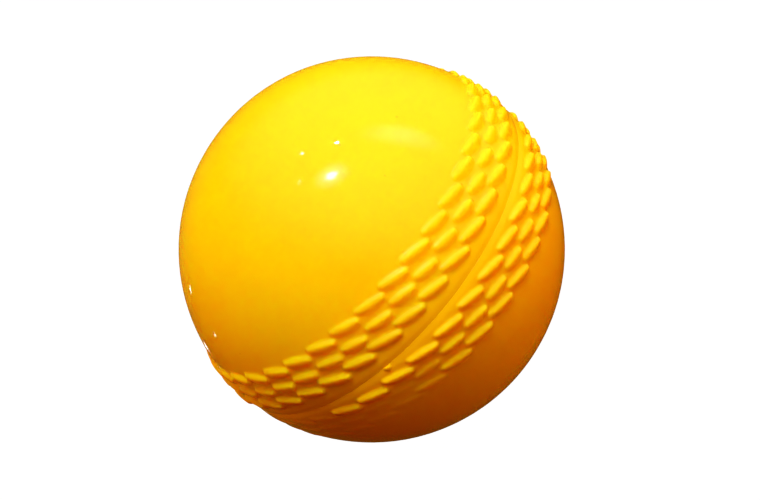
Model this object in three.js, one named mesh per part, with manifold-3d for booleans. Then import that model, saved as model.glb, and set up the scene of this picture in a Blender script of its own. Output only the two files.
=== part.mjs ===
// Moulded cricket training ball: two glossy half covers with a moulded seam, the ring of cement
// that joins them, and the core inside.
// Units are millimetres. The origin is the centre of the ball. +Z runs through the two plain
// poles, so the seam lies round the XY plane. Longitude 0 is at -Y and grows towards +X.

import * as THREE from 'three';
import { mergeVertices } from 'three/addons/utils/BufferGeometryUtils.js';
import Module from 'manifold-3d';

const wasm = await Module();
wasm.setup();

// ---- Driving dimensions ----

const BALL_RADIUS = 36;          // plain surface of the covers
const COVER_WALL = 3.5;          // thickness of each half cover
const GAP = 0.3;                 // clearance kept between neighbouring pieces
const PARTING_Z = -0.6;          // the parting line lies a little below the widest line

const LAP_RADIUS = 34.3;         // the spigot inside, the recess outside
const SPIGOT_HEIGHT = 1.8;       // the spigot's end above the parting line
const BOND_HEIGHT = 0.8;         // ring of cement between the spigot's end and the recess
const BOND_WIDTH = 1.2;

const PIP_HEIGHT = 0.8;          // how far a pip stands out of the plain surface
const PIP_ROOT = 0.9;            // how deep its solid reaches into the wall
const PIP_WIDTH = 1.5;           // across the foot
const PIP_CROWN = 0.55;          // width of the flat top, as a part of the foot's
const PIP_SIDES = 6;

const NIB = { latitude: -1.5, longitude: -13.5, length: 1.9, width: 0.7, height: 0.3, tilt: -8 };

// Rows of pips. Angles are in degrees: where the row lies, where its first pip lies, and how far
// each pip turns from the direction of the row. The lengths are in millimetres.
const UPPER_ROWS = [
  { latitude: 5.3, count: 38, first: 2.4, length: 5.9, tilt: -16 },
  { latitude: 10.3, count: 38, first: 5.3, length: 4.8, tilt: -12 },
  { latitude: 15.3, count: 38, first: 7.1, length: 5.7, tilt: -15 },
];
const LOWER_ROWS = [
  { latitude: -5.3, count: 37, first: 6.9, length: 5.9, tilt: -15 },
  { latitude: -10.3, count: 37, first: 3.8, length: 4.8, tilt: -10 },
  { latitude: -15.3, count: 37, first: 1.1, length: 5.8, tilt: -16 },
];

const TURN_STEPS = 48;           // facets round the ball
const ROW_EDGES = [7.9, 12.6, 17.9];   // latitudes between and outside the rows, where facets end
const ARC_STEPS = 8;             // facets from the outermost row to a pole
const INNER_ARC_STEPS = 6;
const CORE_STEPS = 12;           // facets from pole to pole on the core

// ---- Worked out from them ----

const COVER_INNER_RADIUS = BALL_RADIUS - COVER_WALL;
const CORE_RADIUS = COVER_INNER_RADIUS - GAP;
const RECESS_DEPTH = SPIGOT_HEIGHT + GAP + BOND_HEIGHT + GAP;

// ---- Materials ----

const yellowPlastic = new THREE.MeshStandardMaterial({ color: 0xffcf0a, roughness: 0.18, metalness: 0 });
const cement = new THREE.MeshStandardMaterial({ color: 0xd9b668, roughness: 0.45, metalness: 0 });
const corkRubber = new THREE.MeshStandardMaterial({ color: 0x7d5533, roughness: 0.9, metalness: 0 });

// ---- Solids ----

// A closed mesh as a solid that can be joined and cut.
function toSolid(geometry) {
  const bare = geometry.clone();
  bare.deleteAttribute('normal');
  bare.deleteAttribute('uv');
  const merged = mergeVertices(bare, 1e-4);
  const corners = merged.index.array;
  const kept = [];
  for (let i = 0; i < corners.length; i += 3) {
    const [a, b, c] = [corners[i], corners[i + 1], corners[i + 2]];
    if (a !== b && b !== c && c !== a) kept.push(a, b, c);
  }
  return new wasm.Manifold(new wasm.Mesh({
    numProp: 3,
    vertProperties: new Float32Array(merged.attributes.position.array),
    triVerts: new Uint32Array(kept),
  }));
}

function toGeometry(solid) {
  const mesh = solid.getMesh();
  const geometry = new THREE.BufferGeometry();
  geometry.setAttribute('position', new THREE.BufferAttribute(mesh.vertProperties, 3));
  geometry.setIndex(new THREE.BufferAttribute(mesh.triVerts, 1));
  geometry.computeVertexNormals();
  return geometry;
}

// Points of a circle about the origin, from one height to another, as radius and height.
function arc(radius, fromHeight, toHeight, steps) {
  const start = Math.asin(fromHeight / radius);
  const end = Math.asin(toHeight / radius);
  const points = [];
  for (let i = 0; i <= steps; i += 1) {
    const angle = start + (end - start) * (i / steps);
    const atPole = Math.abs(Math.abs(angle) - Math.PI / 2) < 1e-9;
    points.push(new THREE.Vector2(atPole ? 0 : radius * Math.cos(angle), radius * Math.sin(angle)));
  }
  return points;
}

// The plain surface from the rim to the upper pole. Its facets end between the rows of pips.
function outerArc(rimZ) {
  const heights = ROW_EDGES.map((latitude) => BALL_RADIUS * Math.sin(THREE.MathUtils.degToRad(latitude)));
  const atRows = [rimZ, ...heights].slice(0, -1).map((height) => arc(BALL_RADIUS, height, height, 1)[0]);
  return [...atRows, ...arc(BALL_RADIUS, heights.at(-1), BALL_RADIUS, ARC_STEPS)];
}

// A profile of radius and height, turned about Z.
function turned(profile) {
  return toSolid(new THREE.LatheGeometry(profile, TURN_STEPS).rotateX(Math.PI / 2));
}

// A rod-like pip: a frustum of a few sides, stretched lengthways, lying on the ball.
function pip({ latitude, longitude, length, width, height, tilt }) {
  const footRadius = width / 2;
  const slope = (1 - PIP_CROWN) * footRadius / PIP_HEIGHT;
  const topRadius = footRadius - slope * height;
  const rootRadius = footRadius + slope * PIP_ROOT;
  const geometry = new THREE.CylinderGeometry(topRadius, rootRadius, height + PIP_ROOT, PIP_SIDES, 1);
  geometry.rotateY(Math.PI / 2).rotateX(Math.PI / 2);
  const stretch = (length - width) / 2;
  const position = geometry.attributes.position;
  for (let i = 0; i < position.count; i += 1) {
    const x = position.getX(i);
    if (Math.abs(x) > 1e-6) position.setX(i, x + Math.sign(x) * stretch);
  }
  geometry.translate(0, 0, (height - PIP_ROOT) / 2);

  const along = THREE.MathUtils.degToRad(longitude);
  const across = THREE.MathUtils.degToRad(latitude);
  const east = new THREE.Vector3(Math.cos(along), Math.sin(along), 0);
  const out = new THREE.Vector3(
    Math.cos(across) * Math.sin(along),
    -Math.cos(across) * Math.cos(along),
    Math.sin(across),
  );
  const north = new THREE.Vector3().crossVectors(out, east);
  const place = new THREE.Matrix4().makeBasis(east, north, out);
  place.setPosition(out.clone().multiplyScalar(BALL_RADIUS));
  const turn = new THREE.Matrix4().makeRotationZ(THREE.MathUtils.degToRad(tilt));
  geometry.applyMatrix4(place.multiply(turn));
  return toSolid(geometry);
}

function withRows(cover, rows) {
  let solid = cover;
  for (const row of rows) {
    for (let i = 0; i < row.count; i += 1) {
      const longitude = row.first + (360 * i) / row.count;
      solid = solid.add(pip({ ...row, longitude, width: PIP_WIDTH, height: PIP_HEIGHT }));
    }
  }
  return solid;
}

// ---- Pieces ----

function coverUpper() {
  const rimZ = PARTING_Z + GAP / 2;
  const recessZ = PARTING_Z + RECESS_DEPTH;
  const profile = [
    ...arc(COVER_INNER_RADIUS, COVER_INNER_RADIUS, recessZ, INNER_ARC_STEPS),
    new THREE.Vector2(LAP_RADIUS, recessZ),
    new THREE.Vector2(LAP_RADIUS, rimZ),
    ...outerArc(rimZ),
  ];
  return withRows(turned(profile), UPPER_ROWS);
}

function coverLower() {
  const rimZ = PARTING_Z - GAP / 2;
  const spigotZ = PARTING_Z + SPIGOT_HEIGHT;
  const profile = [
    ...outerArc(-rimZ).reverse().map((point) => new THREE.Vector2(point.x, -point.y)),
    new THREE.Vector2(LAP_RADIUS - GAP, rimZ),
    new THREE.Vector2(LAP_RADIUS - GAP, spigotZ),
    ...arc(COVER_INNER_RADIUS, spigotZ, -COVER_INNER_RADIUS, INNER_ARC_STEPS),
  ];
  return withRows(turned(profile), LOWER_ROWS).add(pip(NIB));
}

function seamBond() {
  const outer = LAP_RADIUS - GAP;
  const inner = outer - BOND_WIDTH;
  const low = PARTING_Z + SPIGOT_HEIGHT + GAP;
  const high = low + BOND_HEIGHT;
  const profile = [
    new THREE.Vector2(inner, low),
    new THREE.Vector2(outer, low),
    new THREE.Vector2(outer, high),
    new THREE.Vector2(inner, high),
    new THREE.Vector2(inner, low),
  ];
  return turned(profile);
}

function core() {
  return turned(arc(CORE_RADIUS, -CORE_RADIUS, CORE_RADIUS, CORE_STEPS));
}

// ---- Assembly ----

function named(name, solid, material) {
  const mesh = new THREE.Mesh(toGeometry(solid), material);
  mesh.name = name;
  return mesh;
}

const ball = new THREE.Group();
ball.add(
  named('cover_upper', coverUpper(), yellowPlastic),
  named('cover_lower', coverLower(), yellowPlastic),
  named('seam_bond', seamBond(), cement),
  named('core', core(), corkRubber),
);

export default ball;
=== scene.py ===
"""Looks of the moulded cricket training ball: the two glossy covers, the cement and the core.

Everything is in metres, in the frame of the CAD model: the origin is the centre of the ball, and
+Z runs through the middle of the plain upper cover. Longitude 0 is at -Y and grows towards +X.
"""

import math

import bpy
import numpy as np
from mathutils import Matrix, Vector


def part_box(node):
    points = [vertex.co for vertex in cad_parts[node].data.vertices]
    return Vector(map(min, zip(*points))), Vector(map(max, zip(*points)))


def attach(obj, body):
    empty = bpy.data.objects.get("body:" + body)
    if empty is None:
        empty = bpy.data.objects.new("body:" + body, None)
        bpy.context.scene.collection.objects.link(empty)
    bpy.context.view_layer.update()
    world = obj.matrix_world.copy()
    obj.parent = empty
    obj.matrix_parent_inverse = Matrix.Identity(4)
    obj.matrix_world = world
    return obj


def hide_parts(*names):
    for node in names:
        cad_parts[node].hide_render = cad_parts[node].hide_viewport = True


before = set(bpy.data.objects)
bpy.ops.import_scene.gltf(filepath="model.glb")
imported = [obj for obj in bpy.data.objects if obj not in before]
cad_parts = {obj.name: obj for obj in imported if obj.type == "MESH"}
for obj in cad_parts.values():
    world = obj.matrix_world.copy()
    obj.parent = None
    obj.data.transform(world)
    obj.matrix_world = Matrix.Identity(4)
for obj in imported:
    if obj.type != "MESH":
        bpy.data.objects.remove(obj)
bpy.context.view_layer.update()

MM = 0.001

# ---- Sizes from the frame ----

BALL_RADIUS = -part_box("cover_lower")[0].z
CORE_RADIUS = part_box("core")[1].z
CAD_GAP = 0.3 * MM
PARTING_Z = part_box("cover_upper")[0].z - CAD_GAP / 2
SPIGOT_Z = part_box("cover_lower")[1].z
BOND_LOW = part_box("seam_bond")[0].z
BOND_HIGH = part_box("seam_bond")[1].z
BOND_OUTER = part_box("seam_bond")[1].x
COVER_INNER = CORE_RADIUS + CAD_GAP
RECESS_Z = BOND_HIGH + CAD_GAP
LAP_RADIUS = BOND_OUTER + CAD_GAP

# ---- Sizes of what the CAD model leaves plain ----

PIP_HEIGHT = 0.64 * MM
PIP_WIDTH = 2.4 * MM             # across the foot, which flares into the ball
PIP_FLARE = 1.4 * MM             # how much longer a pip's foot is than the pip
PIP_SHARPNESS = 3                # how steeply the flared foot rises to the rounded crest
PIP_LEAN = 1.95                  # how much farther the foot runs out below the crest than above
END_EASE = 1.35                  # how much gentler its ends are than its upper side
WEST_TAPER = 0.28                # how much of its width a pip loses towards each end
EAST_TAPER = 0.32
WEST_DROP = 0.18                 # how much of its height it loses towards its west end
PARTING_GAP = 0.02 * MM
RIM_ROUND = 0.05 * MM
VALLEY_DEPTH = 0.14 * MM         # the shallow sink of the surface along the parting line
VALLEY_WIDTH = 0.75 * MM
SWELL_HEIGHT = 0.23 * MM         # the band of the seam stands a little proud of the sphere
SWELL_WIDTH = math.radians(17)
RIPPLE_HEIGHT = 0.012 * MM
RIPPLE_PITCH = (6, 16)           # lowest and highest number of radians a wave turns in a radius
BOND_WIDTH = 1.2 * MM
BOND_FILL = 0.93                 # how much of its channel the cement takes up
BOND_LUMPS = 0.025
BOND_WAVES = 0.2                 # its lumps follow the ripple at this latitude in radians
CORE_INSET = 0.1 * MM
CORE_PITS = 0.04 * MM

# How much the pips of a row differ from each other, as standard deviations.
SPREAD_ALONG = 0.012             # of the step from one pip to the next
SPREAD_ACROSS = 0.06 * MM
SPREAD_LENGTH = 0.03
SPREAD_TURN = 1.2                # degrees
SPREAD_WIDTH = 0.025
SPREAD_HEIGHT = 0.03

RIPPLE_SEED = 5
UPPER_SEED = 11
LOWER_SEED = 23
BOND_SEED = 41
CORE_SEED = 77

# Rows of pips: latitude and first longitude in degrees, how many, length in metres, and the turn
# of each pip from the direction of its row in degrees.
UPPER_ROWS = [
    (5.3, 2.4, 38, 5.9 * MM, -16.0),
    (10.3, 5.3, 38, 4.8 * MM, -12.0),
    (15.3, 7.1, 38, 5.7 * MM, -15.0),
]
LOWER_ROWS = [
    (-5.3, 6.9, 37, 5.9 * MM, -15.0),
    (-10.3, 3.8, 37, 4.8 * MM, -10.0),
    (-15.3, 1.1, 37, 5.8 * MM, -16.0),
]
# The lower rows are rubbed almost flat in one place. For each of them, this is how many degrees
# of longitude from the middle of it the pips begin to rise, and where they are whole again.
RUBBED_LONGITUDE = -75.0
RUBBED_REACHES = [(21.0, 38.0), (52.0, 72.0), (49.0, 73.0)]
RUBBED_SHARE = 0.15              # how much of a pip's height is left there

# The moulding nib on the parting line is a row of one.
NIB_ROW = (-1.5, -13.5, 1, 1.9 * MM, -8.0)
NIB_SIZE = (1.3 * MM, 0.3 * MM)  # width and height

# ---- Mesh steps ----

FINE_COLUMNS = 1140              # round the seam, and halved twice for the plain parts
SEAM_EDGE = 18.6                 # latitude in degrees where the fine mesh ends
SEAM_STEP = 0.32
CAP_STEP = 2.6
PIP_REACH = 3 * MM               # no pip reaches farther than this from the middle of its row
RIM_ANGLES = (0, 30, 60)         # rings round the rim's rounded edge
RIM_INSET = 0.15 * MM            # from the rounded edge to the first ring of the rim's face
LAP_EDGE = 0.08 * MM             # from a corner of the lap to the rings beside it
LAP_START = 1 * MM               # how far inside the cover the lap's first corner lies
INSIDE_START = 0.3 * MM          # from the lap to the first ring of the inside
INNER_STEPS = 18
FACE_SHARES = (0.0, 0.35, 0.7)   # where the rings across a rim face lie, on their way in
FACE_MARGINS = (0.1 * MM, 0.4 * MM)      # how far from the lap that way ends, above and below
BOND_COLUMNS = 360
BOND_SIDES = 16
CORE_COLUMNS = 240
CORE_ROWS = 120

# ---- View ----

VIEW_AZIMUTH = 0.0
VIEW_ELEVATION = 24.35
VIEW_ROLL = 50.54                # the seam runs up to the right in the view
VIEW_DISTANCE = 7.8 * BALL_RADIUS
VIEW_NEAREST = 0.01
LENS = 70.8
SHIFT = (0.0108, -0.0008)

FLOOR_HALF_SIZE = 4.0
TONE_CURVE = ((0.1, 0.08), (0.3, 0.285), (0.5, 0.525), (0.75, 0.785))

# ---- Light ----

WHITE = (1, 1, 1)
ORANGE = (1, 0.6, 0.02)

# Lamps: name, azimuth and elevation in degrees, distance, side, power and colour.
LAMPS = [
    ("key", 42.5, 54.2, 1.0, 0.25, 9.4, WHITE),
    ("key_soft", 42.5, 54.2, 1.0, 1.4, 9.2, WHITE),
    ("fill_right", 40.0, -13.5, 1.0, 0.8, 2.1, ORANGE),
    ("rim_right", 100.0, -40.5, 1.0, 0.6, 6.6, (1, 0.46, 0.02)),
    ("rim_left", -121.5, 24.5, 0.14, 0.04, 0.088, ORANGE),
    ("rim_top", 124.2, 26.2, 1.0, 0.6, 3.6, (1, 0.86, 0.2)),
]

# Softboxes: name, azimuth and elevation in degrees, half their size, strength and turn in degrees.
SOFTBOX_DISTANCE = 0.63
SOFTBOXES = [
    ("ceiling_lamp", 39.7, 64.2, (0.05, 0.027), 62.0, -53),
    ("ceiling_glow", 39.7, 64.2, (0.13, 0.09), 5.0, -53),
    ("small_lamp_1", 81.6, 60.5, (0.0125, 0.0125), 250.0, 0),
    ("small_lamp_2", 104.7, 76.0, (0.01, 0.01), 55.0, 0),
    ("small_lamp_3", 17.8, 80.8, (0.01, 0.01), 50.0, 0),
    ("side_lamp_1", -147.8, 4.2, (0.012, 0.012), 12.0, 0),
    ("side_lamp_2", -131.5, 2.1, (0.008, 0.011), 12.0, 0),
    ("side_lamp_3", -156.6, -14.2, (0.01, 0.01), 10.0, 0),
    ("side_lamp_4", -155.0, -22.4, (0.014, 0.014), 8.0, 0),
    ("window", 79.5, 31.0, (0.26, 0.11), 1.8, -97),
]

# The room. Towards a direction, given as azimuth and elevation, its mirrored colour changes over
# a range of cosines of the angle from that direction.
SHADE_FILL = (0.22, 0.006, 0.0, 1)       # what the matt part of the ball gets from all round
ROOM_DARK = (0.12, 0.065, 0.003, 1)
ROOM_BRIGHT = (0.5, 0.48, 0.42, 1)
BRIGHT_SIDE = (80.4, 44.1)
BRIGHT_RANGE = (0.1, 1.0)
BACKDROP = (0.42, 0.24, 0.025, 1)
BACKDROP_SIDE = (175, 2)
BACKDROP_RANGE = (0.75, 1.0)
BEHIND_BALL = (1, 1, 1, 1)

# ---- Finishes ----

PLASTIC_DEEP = (0.93, 0.54, 0.001)
PLASTIC_PALE = (0.97, 0.585, 0.0015)
CLOUD_SCALE = 45
CLOUD_RANGE = (0.35, 0.65)
SKIN_SCALE = 900                 # the finest grain of the surface
SKIN_HEIGHT = 0.006 * MM
WAVE_SCALE = 220                 # a slight orange peel
WAVE_HEIGHT = 0.02 * MM
SPECK_COLOUR = (0.84, 0.46, 0.003)
SPECK_SCALE = 260
SPECK_RADII = (0.05, 0.09)
SPECK_PICK_SCALE = 300
SPECK_CHOICE = (0.66, 0.68)      # above this level of the noise that picks them, specks show
NOISE_RANGE = (0.3, 0.7)         # where nearly all of a noise's values lie
DULL_SCALE = 160
GLOSS = (0.05, 0.06)             # roughness of the plain surface
PIP_DULLING = 0.3                # how much rougher the pips are
PIP_EDGE = (0.02, 0.3)           # over this part of a pip's height the roughness grows
PLASTIC_IOR = 1.5
SCATTER_RADIUS = (1.0, 0.6, 0.1)
SCATTER_WEIGHTS = (0.1, 1.0)     # at the parting line and away from it
SCATTER_SCALES = (1 * MM, 5 * MM)
WEIGHT_REACH = 3 * MM
SCALE_REACH = 5 * MM
CEMENT_DARK = (0.55, 0.33, 0.1)
CEMENT_LIGHT = (0.72, 0.5, 0.22)
CEMENT_SCALES = (500, 900, 1500)         # of its colour, roughness and bumps
CEMENT_ROUGHNESS = (0.35, 0.6)
CEMENT_BUMPS = 0.05 * MM
CORK_DARK = (0.16, 0.075, 0.03)
CORK_LIGHT = (0.42, 0.24, 0.11)
RUBBER = (0.03, 0.022, 0.018)
GRAIN_SCALE = 480
CORK_SCALE = 700
CORK_ROUGHNESS = (0.75, 0.95)
GRAIN_BUMPS = -0.15 * MM         # the grains stand out and the rubber lies lower
GRAIN_EDGE = (0.45, 0.6)         # distance from a grain's middle where the rubber begins
FLOOR_BASE = (0.02, 0.02, 0.02, 1)
FLOOR_GLOW = (1, 1, 1, 1)

# A Mix node's colour sockets share their names with others, so they go by number, and so does
# the tone curve of all three colours together.
MIX_A = 6
MIX_B = 7
MIX_RESULT = 2
ALL_COLOURS = 3


def direction(azimuth, elevation):
    """Unit vector from the ball, with angles in degrees. Azimuth 0 is -Y and 90 is +X."""
    a = math.radians(azimuth)
    e = math.radians(elevation)
    return Vector((math.sin(a) * math.cos(e), -math.cos(a) * math.cos(e), math.sin(e)))


# ---- Meshes made of rings round Z ----


def ring_points(lon, lat, radius):
    """Points at longitudes lon, at one latitude in radians, radius from the ball's centre."""
    across = radius * math.cos(lat)
    up = radius * math.sin(lat) * np.ones_like(lon)
    return np.stack([across * np.sin(lon), -across * np.cos(lon), up], axis=1)


def longitudes(count):
    return np.arange(count) * (2 * math.pi / count)


def plain_ring(count, radius, z):
    """A circle round Z, as count points."""
    lon = longitudes(count)
    return np.stack([radius * np.sin(lon), -radius * np.cos(lon), z * np.ones_like(lon)], axis=1)


def sphere_rings(count, radius, z_values):
    return [plain_ring(count, math.sqrt(radius**2 - z**2), z) for z in z_values]


def pole(z):
    return np.array([[0.0, 0.0, z]])


def faces_between(start_a, count_a, start_b, count_b):
    """Faces from one ring to the next. The counts are equal, or one is twice the other or 1."""
    faces = []
    if count_a == count_b:
        for i in range(count_a):
            j = (i + 1) % count_a
            faces.append((start_a + i, start_a + j, start_b + j, start_b + i))
    elif count_a == 1:
        for i in range(count_b):
            faces.append((start_a, start_b + (i + 1) % count_b, start_b + i))
    elif count_b == 1:
        for i in range(count_a):
            faces.append((start_a + i, start_a + (i + 1) % count_a, start_b))
    elif count_a == 2 * count_b:
        for i in range(count_b):
            a0 = start_a + 2 * i
            a1 = a0 + 1
            a2 = start_a + (2 * i + 2) % count_a
            b0 = start_b + i
            b1 = start_b + (i + 1) % count_b
            faces += [(a0, a1, b0), (a1, b1, b0), (a1, a2, b1)]
    else:
        for i in range(count_a):
            b0 = start_b + 2 * i
            b1 = b0 + 1
            b2 = start_b + (2 * i + 2) % count_b
            a0 = start_a + i
            a1 = start_a + (i + 1) % count_a
            faces += [(a0, b1, b0), (a0, a1, b1), (a1, b2, b1)]
    return faces


def mesh_from_rings(name, rings, closed_loop=False, relief=False):
    """A smooth closed mesh through rings, from pole to pole, or round a loop of rings.

    With relief, each vertex keeps how far it stands out of the plain surface, as a share of a pip.
    """
    starts = np.cumsum([0] + [len(r) for r in rings])
    faces = []
    pairs = list(zip(range(len(rings) - 1), range(1, len(rings))))
    if closed_loop:
        pairs.append((len(rings) - 1, 0))
    for a, b in pairs:
        faces += faces_between(int(starts[a]), len(rings[a]), int(starts[b]), len(rings[b]))
    mesh = bpy.data.meshes.new(name)
    points = np.concatenate(rings)
    mesh.from_pydata(points.tolist(), [], faces)
    if relief:
        radius = np.linalg.norm(points, axis=1)
        share = (radius - BALL_RADIUS - swell(np.arcsin(points[:, 2] / radius))) / PIP_HEIGHT
        mesh.attributes.new("relief", "FLOAT", "POINT").data.foreach_set("value", share)
    mesh.validate()
    mesh.shade_smooth()
    piece = bpy.data.objects.new(name, mesh)
    bpy.context.scene.collection.objects.link(piece)
    return piece


# ---- Relief of the covers ----


def pip_table(row, rng, width, height, flare=0.0):
    """The pips of one row, each a little different: centre, length, turn, width and height.

    The foot is longer than the pip by the flare.
    """
    latitude, first, count, length, turn = row
    pitch = 2 * math.pi / count
    return {
        "pitch": pitch,
        "first": math.radians(first),
        "lon": rng.normal(0, SPREAD_ALONG, count) * pitch,
        "lat": math.radians(latitude) + rng.normal(0, SPREAD_ACROSS, count) / BALL_RADIUS,
        "reach": (length * rng.normal(1, SPREAD_LENGTH, count) + flare - width) / 2,
        "turn": np.radians(turn + rng.normal(0, SPREAD_TURN, count)),
        "half_width": width / 2 * rng.normal(1, SPREAD_WIDTH, count),
        "height": height * rng.normal(1, SPREAD_HEIGHT, count),
    }


def pip_relief(pips, lon, lat):
    """How far the pips of one row stand out at one latitude, as humps with a flared foot."""
    count = len(pips["lon"])
    nearest = np.round((lon - pips["first"]) / pips["pitch"]).astype(int)
    best = np.zeros(len(lon))
    for step in (-1, 0, 1):
        place = nearest + step
        k = place % count
        east = lon - pips["first"] - place * pips["pitch"] - pips["lon"][k]
        x = east * BALL_RADIUS * math.cos(lat)
        y = (lat - pips["lat"][k]) * BALL_RADIUS
        cos_t = np.cos(pips["turn"][k])
        sin_t = np.sin(pips["turn"][k])
        along = x * cos_t + y * sin_t
        side = y * cos_t - x * sin_t
        side = np.where(side < 0, side / PIP_LEAN, side)
        past_end = np.maximum(np.abs(along) - pips["reach"][k], 0) / END_EASE
        west = np.clip(-along / pips["reach"][k], 0, 1) ** 2
        east = np.clip(along / pips["reach"][k], 0, 1) ** 2
        width = pips["half_width"][k] * (1 - WEST_TAPER * west - EAST_TAPER * east)
        height = pips["height"][k] * (1 - WEST_DROP * west)
        share = np.hypot(past_end, side) / width
        best = np.maximum(best, height * np.maximum(1 - share**2, 0) ** PIP_SHARPNESS)
    return best


def rub_down(pips, reach):
    """Takes down the pips of one row where the ball is rubbed."""
    count = len(pips["lon"])
    lon = pips["first"] + np.arange(count) * pips["pitch"]
    away = np.abs((np.degrees(lon) - RUBBED_LONGITUDE + 180) % 360 - 180)
    share = np.clip((away - reach[0]) / (reach[1] - reach[0]), 0, 1)
    share = share * share * (3 - 2 * share)
    pips["height"] *= RUBBED_SHARE + (1 - RUBBED_SHARE) * share


def swell(lat):
    """How far the band of the seam stands proud of the sphere."""
    return SWELL_HEIGHT * np.exp(-((lat / SWELL_WIDTH) ** 2))


def ripple(lon, lat, rng_seed=RIPPLE_SEED, waves=24):
    """Slight long waves in the moulded surface, mostly between -1 and 1 and rarely past 2."""
    rng = np.random.default_rng(rng_seed)
    point = ring_points(lon, lat, 1.0)
    total = np.zeros(len(lon))
    for _ in range(waves):
        axis = rng.normal(size=3)
        axis /= np.linalg.norm(axis)
        pitch = rng.uniform(*RIPPLE_PITCH)
        total += np.sin(pitch * (point @ axis) + rng.uniform(0, 2 * math.pi))
    return total / math.sqrt(waves)


def outer_radius(lon, lat, tables):
    """Distance of the moulded surface from the ball's centre, at one latitude."""
    relief = np.zeros(len(lon))
    for pips in tables:
        if np.min(np.abs(pips["lat"] - lat)) * BALL_RADIUS < PIP_REACH:
            relief = np.maximum(relief, pip_relief(pips, lon, lat))
    away = (BALL_RADIUS * math.sin(lat) - PARTING_Z) / VALLEY_WIDTH
    valley = VALLEY_DEPTH * math.exp(-(away**2))
    return BALL_RADIUS + swell(lat) + relief - valley + RIPPLE_HEIGHT * ripple(lon, lat)


def outer_rings(tables, side):
    """Rings of a cover's outer surface from its rim to its pole. side is 1 above, -1 below."""
    fine = longitudes(FINE_COLUMNS)
    rings = []
    rim_lat = math.asin((PARTING_Z + side * PARTING_GAP / 2) / BALL_RADIUS)
    for angle in np.radians(RIM_ANGLES):
        lat = rim_lat + side * RIM_ROUND * (1 - math.cos(angle)) / BALL_RADIUS
        drop = RIM_ROUND * (1 - math.sin(angle))
        rings.append(ring_points(fine, lat, outer_radius(fine, lat, tables) - drop))
    start = rim_lat + side * RIM_ROUND / BALL_RADIUS
    steps = round(math.degrees(abs(side * math.radians(SEAM_EDGE) - start)) / SEAM_STEP)
    lats = np.linspace(start, side * math.radians(SEAM_EDGE), steps + 1)
    for lat in np.insert(lats, 1, start + side * RIM_ROUND / BALL_RADIUS):
        rings.append(ring_points(fine, lat, outer_radius(fine, lat, tables)))
    cap_steps = round((90 - SEAM_EDGE) / CAP_STEP)
    for i, lat in enumerate(np.radians(side * np.linspace(SEAM_EDGE, 90, cap_steps + 1)[1:-1])):
        lon = longitudes(FINE_COLUMNS // (2 if i == 0 else 4))
        rings.append(ring_points(lon, lat, outer_radius(lon, lat, [])))
    top = outer_radius(np.zeros(1), side * math.pi / 2, [])[0]
    rings.append(pole(side * top))
    return rings


def inner_rings(count, z_from, side):
    """Rings of a cover's inside from the height z_from to its pole."""
    start = math.asin(z_from / COVER_INNER)
    lats = np.linspace(start, side * math.pi / 2, INNER_STEPS)[:-1]
    rings = sphere_rings(count, COVER_INNER, COVER_INNER * np.sin(lats))
    rings.append(pole(side * COVER_INNER))
    return rings


def lap_rings(corners):
    """Two rings beside each corner of a lap but the outer ones. Corners are (radius, z)."""
    count = FINE_COLUMNS // 4
    rings = []
    for i in range(1, len(corners) - 1):
        before, here, after = (np.array(corners[i + k]) for k in (-1, 0, 1))
        for other in (before, after):
            step = (other - here) / np.linalg.norm(other - here) * LAP_EDGE
            rings.append(plain_ring(count, *(here + step)))
    return rings


def face_rings(radius_from, radius_to, z):
    """Rings across a flat rim face that bring the fine columns down to the coarse ones."""
    rings = []
    for share, divisor in zip(FACE_SHARES, (1, 2, 4)):
        radius = radius_from + (radius_to - radius_from) * share
        rings.append(plain_ring(FINE_COLUMNS // divisor, radius, z))
    return rings


def make_cover_upper():
    rng = np.random.default_rng(UPPER_SEED)
    tables = [pip_table(row, rng, PIP_WIDTH, PIP_HEIGHT, PIP_FLARE) for row in UPPER_ROWS]
    rim_z = PARTING_Z + PARTING_GAP / 2
    inner_at_recess = math.sqrt(COVER_INNER**2 - RECESS_Z**2)
    outer = outer_rings(tables, 1)
    rim_radius = BALL_RADIUS - RIM_ROUND - VALLEY_DEPTH - RIM_INSET
    lap = lap_rings([
        (inner_at_recess, RECESS_Z + LAP_START),
        (inner_at_recess, RECESS_Z),
        (LAP_RADIUS, RECESS_Z),
        (LAP_RADIUS, rim_z),
        (rim_radius, rim_z),
    ])
    inside = inner_rings(FINE_COLUMNS // 4, RECESS_Z + INSIDE_START, 1)[::-1]
    face = face_rings(rim_radius, LAP_RADIUS + FACE_MARGINS[0], rim_z)[::-1]
    return mesh_from_rings("cover_upper_moulding", inside + lap + face + outer, relief=True)


def make_cover_lower():
    rng = np.random.default_rng(LOWER_SEED)
    tables = [pip_table(row, rng, PIP_WIDTH, PIP_HEIGHT, PIP_FLARE) for row in LOWER_ROWS]
    for pips, reach in zip(tables, RUBBED_REACHES):
        rub_down(pips, reach)
    tables.append(pip_table(NIB_ROW, rng, *NIB_SIZE))
    rim_z = PARTING_Z - PARTING_GAP / 2
    inner_at_spigot = math.sqrt(COVER_INNER**2 - SPIGOT_Z**2)
    outer = outer_rings(tables, -1)
    rim_radius = BALL_RADIUS - RIM_ROUND - VALLEY_DEPTH - RIM_INSET
    lap = lap_rings([
        (rim_radius, rim_z),
        (BOND_OUTER, rim_z),
        (BOND_OUTER, SPIGOT_Z),
        (inner_at_spigot, SPIGOT_Z),
        (inner_at_spigot, SPIGOT_Z - LAP_START),
    ])
    inside = inner_rings(FINE_COLUMNS // 4, SPIGOT_Z - INSIDE_START, -1)
    face = face_rings(rim_radius, BOND_OUTER + FACE_MARGINS[1], rim_z)
    return mesh_from_rings("cover_lower_moulding", outer[::-1] + face + lap + inside, relief=True)


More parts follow.
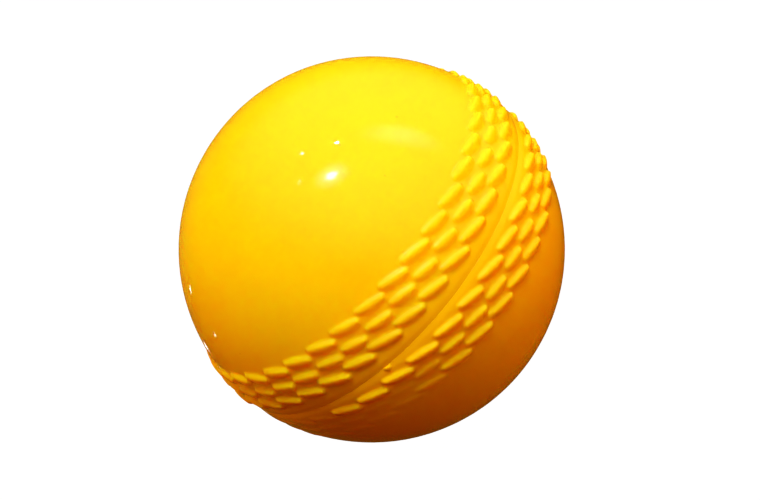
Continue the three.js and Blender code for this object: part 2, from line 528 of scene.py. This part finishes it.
def make_bond():
    """The bead of cement: a ring of rounded section with slight lumps."""
    lon = longitudes(BOND_COLUMNS)
    centre_r = BOND_OUTER - BOND_WIDTH / 2
    centre_z = (BOND_LOW + BOND_HIGH) / 2
    half_height = (BOND_HIGH - BOND_LOW) / 2
    lump = BOND_FILL + BOND_LUMPS * ripple(lon, BOND_WAVES, rng_seed=BOND_SEED)
    rings = []
    for angle in np.linspace(0, 2 * math.pi, BOND_SIDES, endpoint=False):
        radius = centre_r + BOND_WIDTH / 2 * lump * np.cos(angle)
        z = centre_z + half_height * lump * np.sin(angle)
        rings.append(np.stack([radius * np.sin(lon), -radius * np.cos(lon), z], axis=1))
    return mesh_from_rings("seam_cement", rings, closed_loop=True)


def make_core():
    """The core: a sphere with the slightly pitted skin of moulded granules."""
    rings = [pole(-CORE_RADIUS)]
    lon = longitudes(CORE_COLUMNS)
    for lat in np.linspace(-math.pi / 2, math.pi / 2, CORE_ROWS + 1)[1:-1]:
        pits = CORE_PITS * ripple(lon, lat, rng_seed=CORE_SEED, waves=40)
        rings.append(ring_points(lon, lat, CORE_RADIUS - CORE_INSET + pits))
    rings.append(pole(CORE_RADIUS))
    return mesh_from_rings("moulded_core", rings)


# ---- Materials ----


class Nodes:
    """Short ways to add nodes to a material."""

    def __init__(self, name):
        self.material = bpy.data.materials.new(name)
        self.material.use_nodes = True
        self.tree = self.material.node_tree
        self.shader = self.tree.nodes["Principled BSDF"]
        self.place = self.add("ShaderNodeTexCoord").outputs["Object"]

    def add(self, kind, **settings):
        node = self.tree.nodes.new(kind)
        for key, value in settings.items():
            setattr(node, key, value)
        return node

    def link(self, source, target):
        self.tree.links.new(source, target)

    def noise(self, scale, detail=2.0):
        node = self.add("ShaderNodeTexNoise")
        self.link(self.place, node.inputs["Vector"])
        node.inputs["Scale"].default_value = scale
        node.inputs["Detail"].default_value = detail
        return node.outputs["Fac"]

    def span(self, source, low, high, out_low, out_high):
        """Maps the range from low to high onto another range."""
        node = self.add("ShaderNodeMapRange")
        self.link(source, node.inputs["Value"])
        node.inputs["From Min"].default_value = low
        node.inputs["From Max"].default_value = high
        node.inputs["To Min"].default_value = out_low
        node.inputs["To Max"].default_value = out_high
        return node.outputs["Result"]

    def height_from(self, z):
        """Distance from the level z, up or down."""
        parts = self.add("ShaderNodeSeparateXYZ")
        self.link(self.place, parts.inputs["Vector"])
        above = self.add("ShaderNodeMath", operation="SUBTRACT")
        self.link(parts.outputs["Z"], above.inputs[0])
        above.inputs[1].default_value = z
        size = self.add("ShaderNodeMath", operation="ABSOLUTE")
        self.link(above.outputs[0], size.inputs[0])
        return size.outputs[0]

    def mix(self, factor, first, second):
        node = self.add("ShaderNodeMix", data_type="RGBA")
        self.link(factor, node.inputs["Factor"])
        for value, socket in ((first, node.inputs[MIX_A]), (second, node.inputs[MIX_B])):
            if isinstance(value, tuple):
                socket.default_value = (*value, 1.0)
            else:
                self.link(value, socket)
        return node.outputs[MIX_RESULT]

    def bump(self, height, distance, normal=None):
        node = self.add("ShaderNodeBump")
        self.link(height, node.inputs["Height"])
        node.inputs["Distance"].default_value = distance
        if normal is not None:
            self.link(normal, node.inputs["Normal"])
        return node.outputs["Normal"]


def yellow_plastic():
    """Glossy moulded vinyl: deep yellow, slightly translucent, with fine texture and dust marks."""
    n = Nodes("yellow_plastic")
    clouds = n.span(n.noise(CLOUD_SCALE, detail=3), *CLOUD_RANGE, 0, 1)
    base = n.mix(clouds, PLASTIC_DEEP, PLASTIC_PALE)
    speck = n.add("ShaderNodeTexVoronoi", feature="F1")
    n.link(n.place, speck.inputs["Vector"])
    speck.inputs["Scale"].default_value = SPECK_SCALE
    dot = n.span(speck.outputs["Distance"], *SPECK_RADII, 1, 0)
    chosen = n.span(n.noise(SPECK_PICK_SCALE, detail=0), *SPECK_CHOICE, 0, 1)
    both = n.add("ShaderNodeMath", operation="MULTIPLY")
    n.link(dot, both.inputs[0])
    n.link(chosen, both.inputs[1])
    n.link(n.mix(both.outputs[0], base, SPECK_COLOUR), n.shader.inputs["Base Color"])
    relief = n.add("ShaderNodeAttribute", attribute_name="relief")
    on_pip = n.span(relief.outputs["Fac"], *PIP_EDGE, 0, PIP_DULLING)
    polish = n.add("ShaderNodeMath", operation="ADD")
    n.link(n.span(n.noise(DULL_SCALE, detail=4), *NOISE_RANGE, *GLOSS), polish.inputs[0])
    n.link(on_pip, polish.inputs[1])
    n.link(polish.outputs[0], n.shader.inputs["Roughness"])
    skin = n.bump(n.noise(SKIN_SCALE, detail=3), SKIN_HEIGHT)
    waves = n.bump(n.noise(WAVE_SCALE, detail=1), WAVE_HEIGHT, normal=skin)
    n.link(waves, n.shader.inputs["Normal"])
    n.shader.inputs["IOR"].default_value = PLASTIC_IOR
    n.shader.inputs["Subsurface Radius"].default_value = SCATTER_RADIUS
    # Light that is scattered out through the rim faces is lost, so there is less of it near them.
    away = n.height_from(PARTING_Z)
    n.link(n.span(away, 0, WEIGHT_REACH, *SCATTER_WEIGHTS), n.shader.inputs["Subsurface Weight"])
    n.link(n.span(away, 0, SCALE_REACH, *SCATTER_SCALES), n.shader.inputs["Subsurface Scale"])
    return n.material


def dried_cement():
    """Amber solvent cement, set hard with a dull skin."""
    n = Nodes("dried_cement")
    colour_scale, rough_scale, bump_scale = CEMENT_SCALES
    tone = n.span(n.noise(colour_scale, detail=4), *NOISE_RANGE, 0, 1)
    n.link(n.mix(tone, CEMENT_DARK, CEMENT_LIGHT), n.shader.inputs["Base Color"])
    rough = n.span(n.noise(rough_scale), *NOISE_RANGE, *CEMENT_ROUGHNESS)
    n.link(rough, n.shader.inputs["Roughness"])
    n.link(n.bump(n.noise(bump_scale, detail=3), CEMENT_BUMPS), n.shader.inputs["Normal"])
    return n.material


def cork_rubber():
    """Moulded granules of cork in dark rubber."""
    n = Nodes("cork_rubber")
    grains = n.add("ShaderNodeTexVoronoi", feature="F1")
    n.link(n.place, grains.inputs["Vector"])
    grains.inputs["Scale"].default_value = GRAIN_SCALE
    tone = n.add("ShaderNodeSeparateColor")
    n.link(grains.outputs["Color"], tone.inputs["Color"])
    shade = n.mix(tone.outputs["Red"], CORK_DARK, CORK_LIGHT)
    binder = n.span(grains.outputs["Distance"], *GRAIN_EDGE, 0, 1)
    n.link(n.mix(binder, shade, RUBBER), n.shader.inputs["Base Color"])
    rough = n.span(n.noise(CORK_SCALE), *NOISE_RANGE, *CORK_ROUGHNESS)
    n.link(rough, n.shader.inputs["Roughness"])
    n.link(n.bump(grains.outputs["Distance"], GRAIN_BUMPS), n.shader.inputs["Normal"])
    return n.material


def dress(piece, material, node):
    """Gives a piece its material, hangs it on the root body and hides the CAD node it stands for.
    """
    piece.data.materials.append(material)
    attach(piece, "root")
    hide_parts(node)


# ---- Studio ----


def make_camera():
    camera = bpy.data.objects.new("camera", bpy.data.cameras.new("camera"))
    bpy.context.scene.collection.objects.link(camera)
    back = direction(VIEW_AZIMUTH, VIEW_ELEVATION)
    camera.rotation_mode = "QUATERNION"
    level = (-back).to_track_quat("-Z", "Y").to_matrix()
    camera.matrix_world = (
        Matrix.Translation(back * VIEW_DISTANCE)
        @ (level @ Matrix.Rotation(math.radians(-VIEW_ROLL), 3, "Z")).to_4x4()
    )
    camera.data.lens = LENS
    camera.data.shift_x, camera.data.shift_y = SHIFT
    camera.data.clip_start = VIEW_NEAREST
    bpy.context.scene.camera = camera


def make_floor():
    """A plain pale floor under the ball, seen by the camera but throwing no light back up."""
    mesh = bpy.data.meshes.new("floor")
    size = FLOOR_HALF_SIZE
    z = -BALL_RADIUS - 2 * RIPPLE_HEIGHT
    corners = [(-size, -size, z), (size, -size, z), (size, size, z), (-size, size, z)]
    mesh.from_pydata(corners, [], [(0, 1, 2, 3)])
    floor = bpy.data.objects.new("floor", mesh)
    bpy.context.scene.collection.objects.link(floor)
    paint = bpy.data.materials.new("floor_white")
    paint.use_nodes = True
    shader = paint.node_tree.nodes["Principled BSDF"]
    shader.inputs["Base Color"].default_value = FLOOR_BASE
    shader.inputs["Roughness"].default_value = 1.0
    shader.inputs["Emission Color"].default_value = FLOOR_GLOW
    shader.inputs["Emission Strength"].default_value = 1.0
    mesh.materials.append(paint)
    floor.visible_diffuse = False
    floor.visible_glossy = False
    floor.visible_shadow = False


def face_ball(item, azimuth, elevation, distance, spin=0.0):
    """Puts a lamp or a panel out in a direction from the ball, with its Z axis away from it."""
    away = direction(azimuth, elevation)
    item.location = away * distance
    item.rotation_mode = "QUATERNION"
    turn = Matrix.Rotation(math.radians(spin), 3, "Z").to_quaternion()
    item.rotation_quaternion = away.to_track_quat("Z", "Y") @ turn


def lamp(name, azimuth, elevation, distance, side, power, colour):
    """A soft square lamp that lights the ball and isn't mirrored in it."""
    data = bpy.data.lights.new(name, "AREA")
    data.shape = "RECTANGLE"
    data.size = side
    data.size_y = side
    data.energy = power
    data.color = colour
    light = bpy.data.objects.new(name, data)
    bpy.context.scene.collection.objects.link(light)
    face_ball(light, azimuth, elevation, distance)
    light.visible_camera = False
    light.visible_glossy = False


def softbox(name, azimuth, elevation, half_size, strength, spin):
    """A glowing oval panel that fades towards its edge. It shows only as a highlight."""
    mesh = bpy.data.meshes.new(name)
    mesh.from_pydata([(-1, -1, 0), (1, -1, 0), (1, 1, 0), (-1, 1, 0)], [], [(0, 1, 2, 3)])
    panel = bpy.data.objects.new(name, mesh)
    bpy.context.scene.collection.objects.link(panel)
    face_ball(panel, azimuth, elevation, SOFTBOX_DISTANCE, spin)
    panel.scale = (*half_size, 1)
    glow = bpy.data.materials.new(name)
    glow.use_nodes = True
    tree = glow.node_tree
    tree.nodes.clear()
    place = tree.nodes.new("ShaderNodeTexCoord")
    reach = tree.nodes.new("ShaderNodeVectorMath")
    reach.operation = "LENGTH"
    tree.links.new(place.outputs["Object"], reach.inputs[0])
    fade = tree.nodes.new("ShaderNodeMapRange")
    fade.interpolation_type = "SMOOTHSTEP"
    fade.inputs["To Min"].default_value = strength
    fade.inputs["To Max"].default_value = 0.0
    tree.links.new(reach.outputs["Value"], fade.inputs["Value"])
    emission = tree.nodes.new("ShaderNodeEmission")
    tree.links.new(fade.outputs["Result"], emission.inputs["Strength"])
    clear = tree.nodes.new("ShaderNodeBsdfTransparent")
    both = tree.nodes.new("ShaderNodeAddShader")
    tree.links.new(emission.outputs[0], both.inputs[0])
    tree.links.new(clear.outputs[0], both.inputs[1])
    output = tree.nodes.new("ShaderNodeOutputMaterial")
    tree.links.new(both.outputs[0], output.inputs["Surface"])
    mesh.materials.append(glow)
    panel.visible_camera = False
    panel.visible_diffuse = False
    panel.visible_shadow = False


def make_lights():
    for row in LAMPS:
        lamp(*row)
    for row in SOFTBOXES:
        softbox(*row)


def towards(tree, place, side, reach):
    """A factor from 0 to 1 that grows towards a side of the room."""
    cosine = tree.nodes.new("ShaderNodeVectorMath")
    cosine.operation = "DOT_PRODUCT"
    cosine.inputs[1].default_value = direction(*side)
    tree.links.new(place.outputs["Generated"], cosine.inputs[0])
    factor = tree.nodes.new("ShaderNodeMapRange")
    factor.interpolation_type = "SMOOTHSTEP"
    factor.inputs["From Min"].default_value = reach[0]
    factor.inputs["From Max"].default_value = reach[1]
    tree.links.new(cosine.outputs["Value"], factor.inputs["Value"])
    return factor.outputs["Result"]


def blend_colours(tree, factor, first, second):
    """A mix of two colours, each of them a value or the output of another node."""
    mix = tree.nodes.new("ShaderNodeMix")
    mix.data_type = "RGBA"
    tree.links.new(factor, mix.inputs["Factor"])
    for value, number in ((first, MIX_A), (second, MIX_B)):
        if isinstance(value, tuple):
            mix.inputs[number].default_value = value
        else:
            tree.links.new(value, mix.inputs[number])
    return mix.outputs[MIX_RESULT]


def make_world():
    """White behind the ball, a deep orange fill on it, and little for it to mirror."""
    world = bpy.data.worlds.new("studio")
    bpy.context.scene.world = world
    world.use_nodes = True
    tree = world.node_tree
    path = tree.nodes.new("ShaderNodeLightPath")
    place = tree.nodes.new("ShaderNodeTexCoord")
    bright = towards(tree, place, BRIGHT_SIDE, BRIGHT_RANGE)
    room = blend_colours(tree, bright, ROOM_DARK, ROOM_BRIGHT)
    behind = towards(tree, place, BACKDROP_SIDE, BACKDROP_RANGE)
    mirrored = blend_colours(tree, behind, room, BACKDROP)
    lit = blend_colours(tree, path.outputs["Is Glossy Ray"], SHADE_FILL, mirrored)
    seen = blend_colours(tree, path.outputs["Is Camera Ray"], lit, BEHIND_BALL)
    tree.links.new(seen, tree.nodes["Background"].inputs["Color"])


def add_contrast(view):
    """A gentle tone curve, which keeps black and white where they are."""
    view.use_curve_mapping = True
    curve = view.curve_mapping.curves[ALL_COLOURS]
    for x, y in TONE_CURVE:
        curve.points.new(x, y)
    view.curve_mapping.update()


# ---- Scene ----

make_camera()
plastic = yellow_plastic()
dress(make_cover_upper(), plastic, "cover_upper")
dress(make_cover_lower(), plastic, "cover_lower")
dress(make_bond(), dried_cement(), "seam_bond")
dress(make_core(), cork_rubber(), "core")
make_floor()
make_lights()
make_world()

scene = bpy.context.scene
scene.view_settings.view_transform = "Standard"
add_contrast(scene.view_settings)
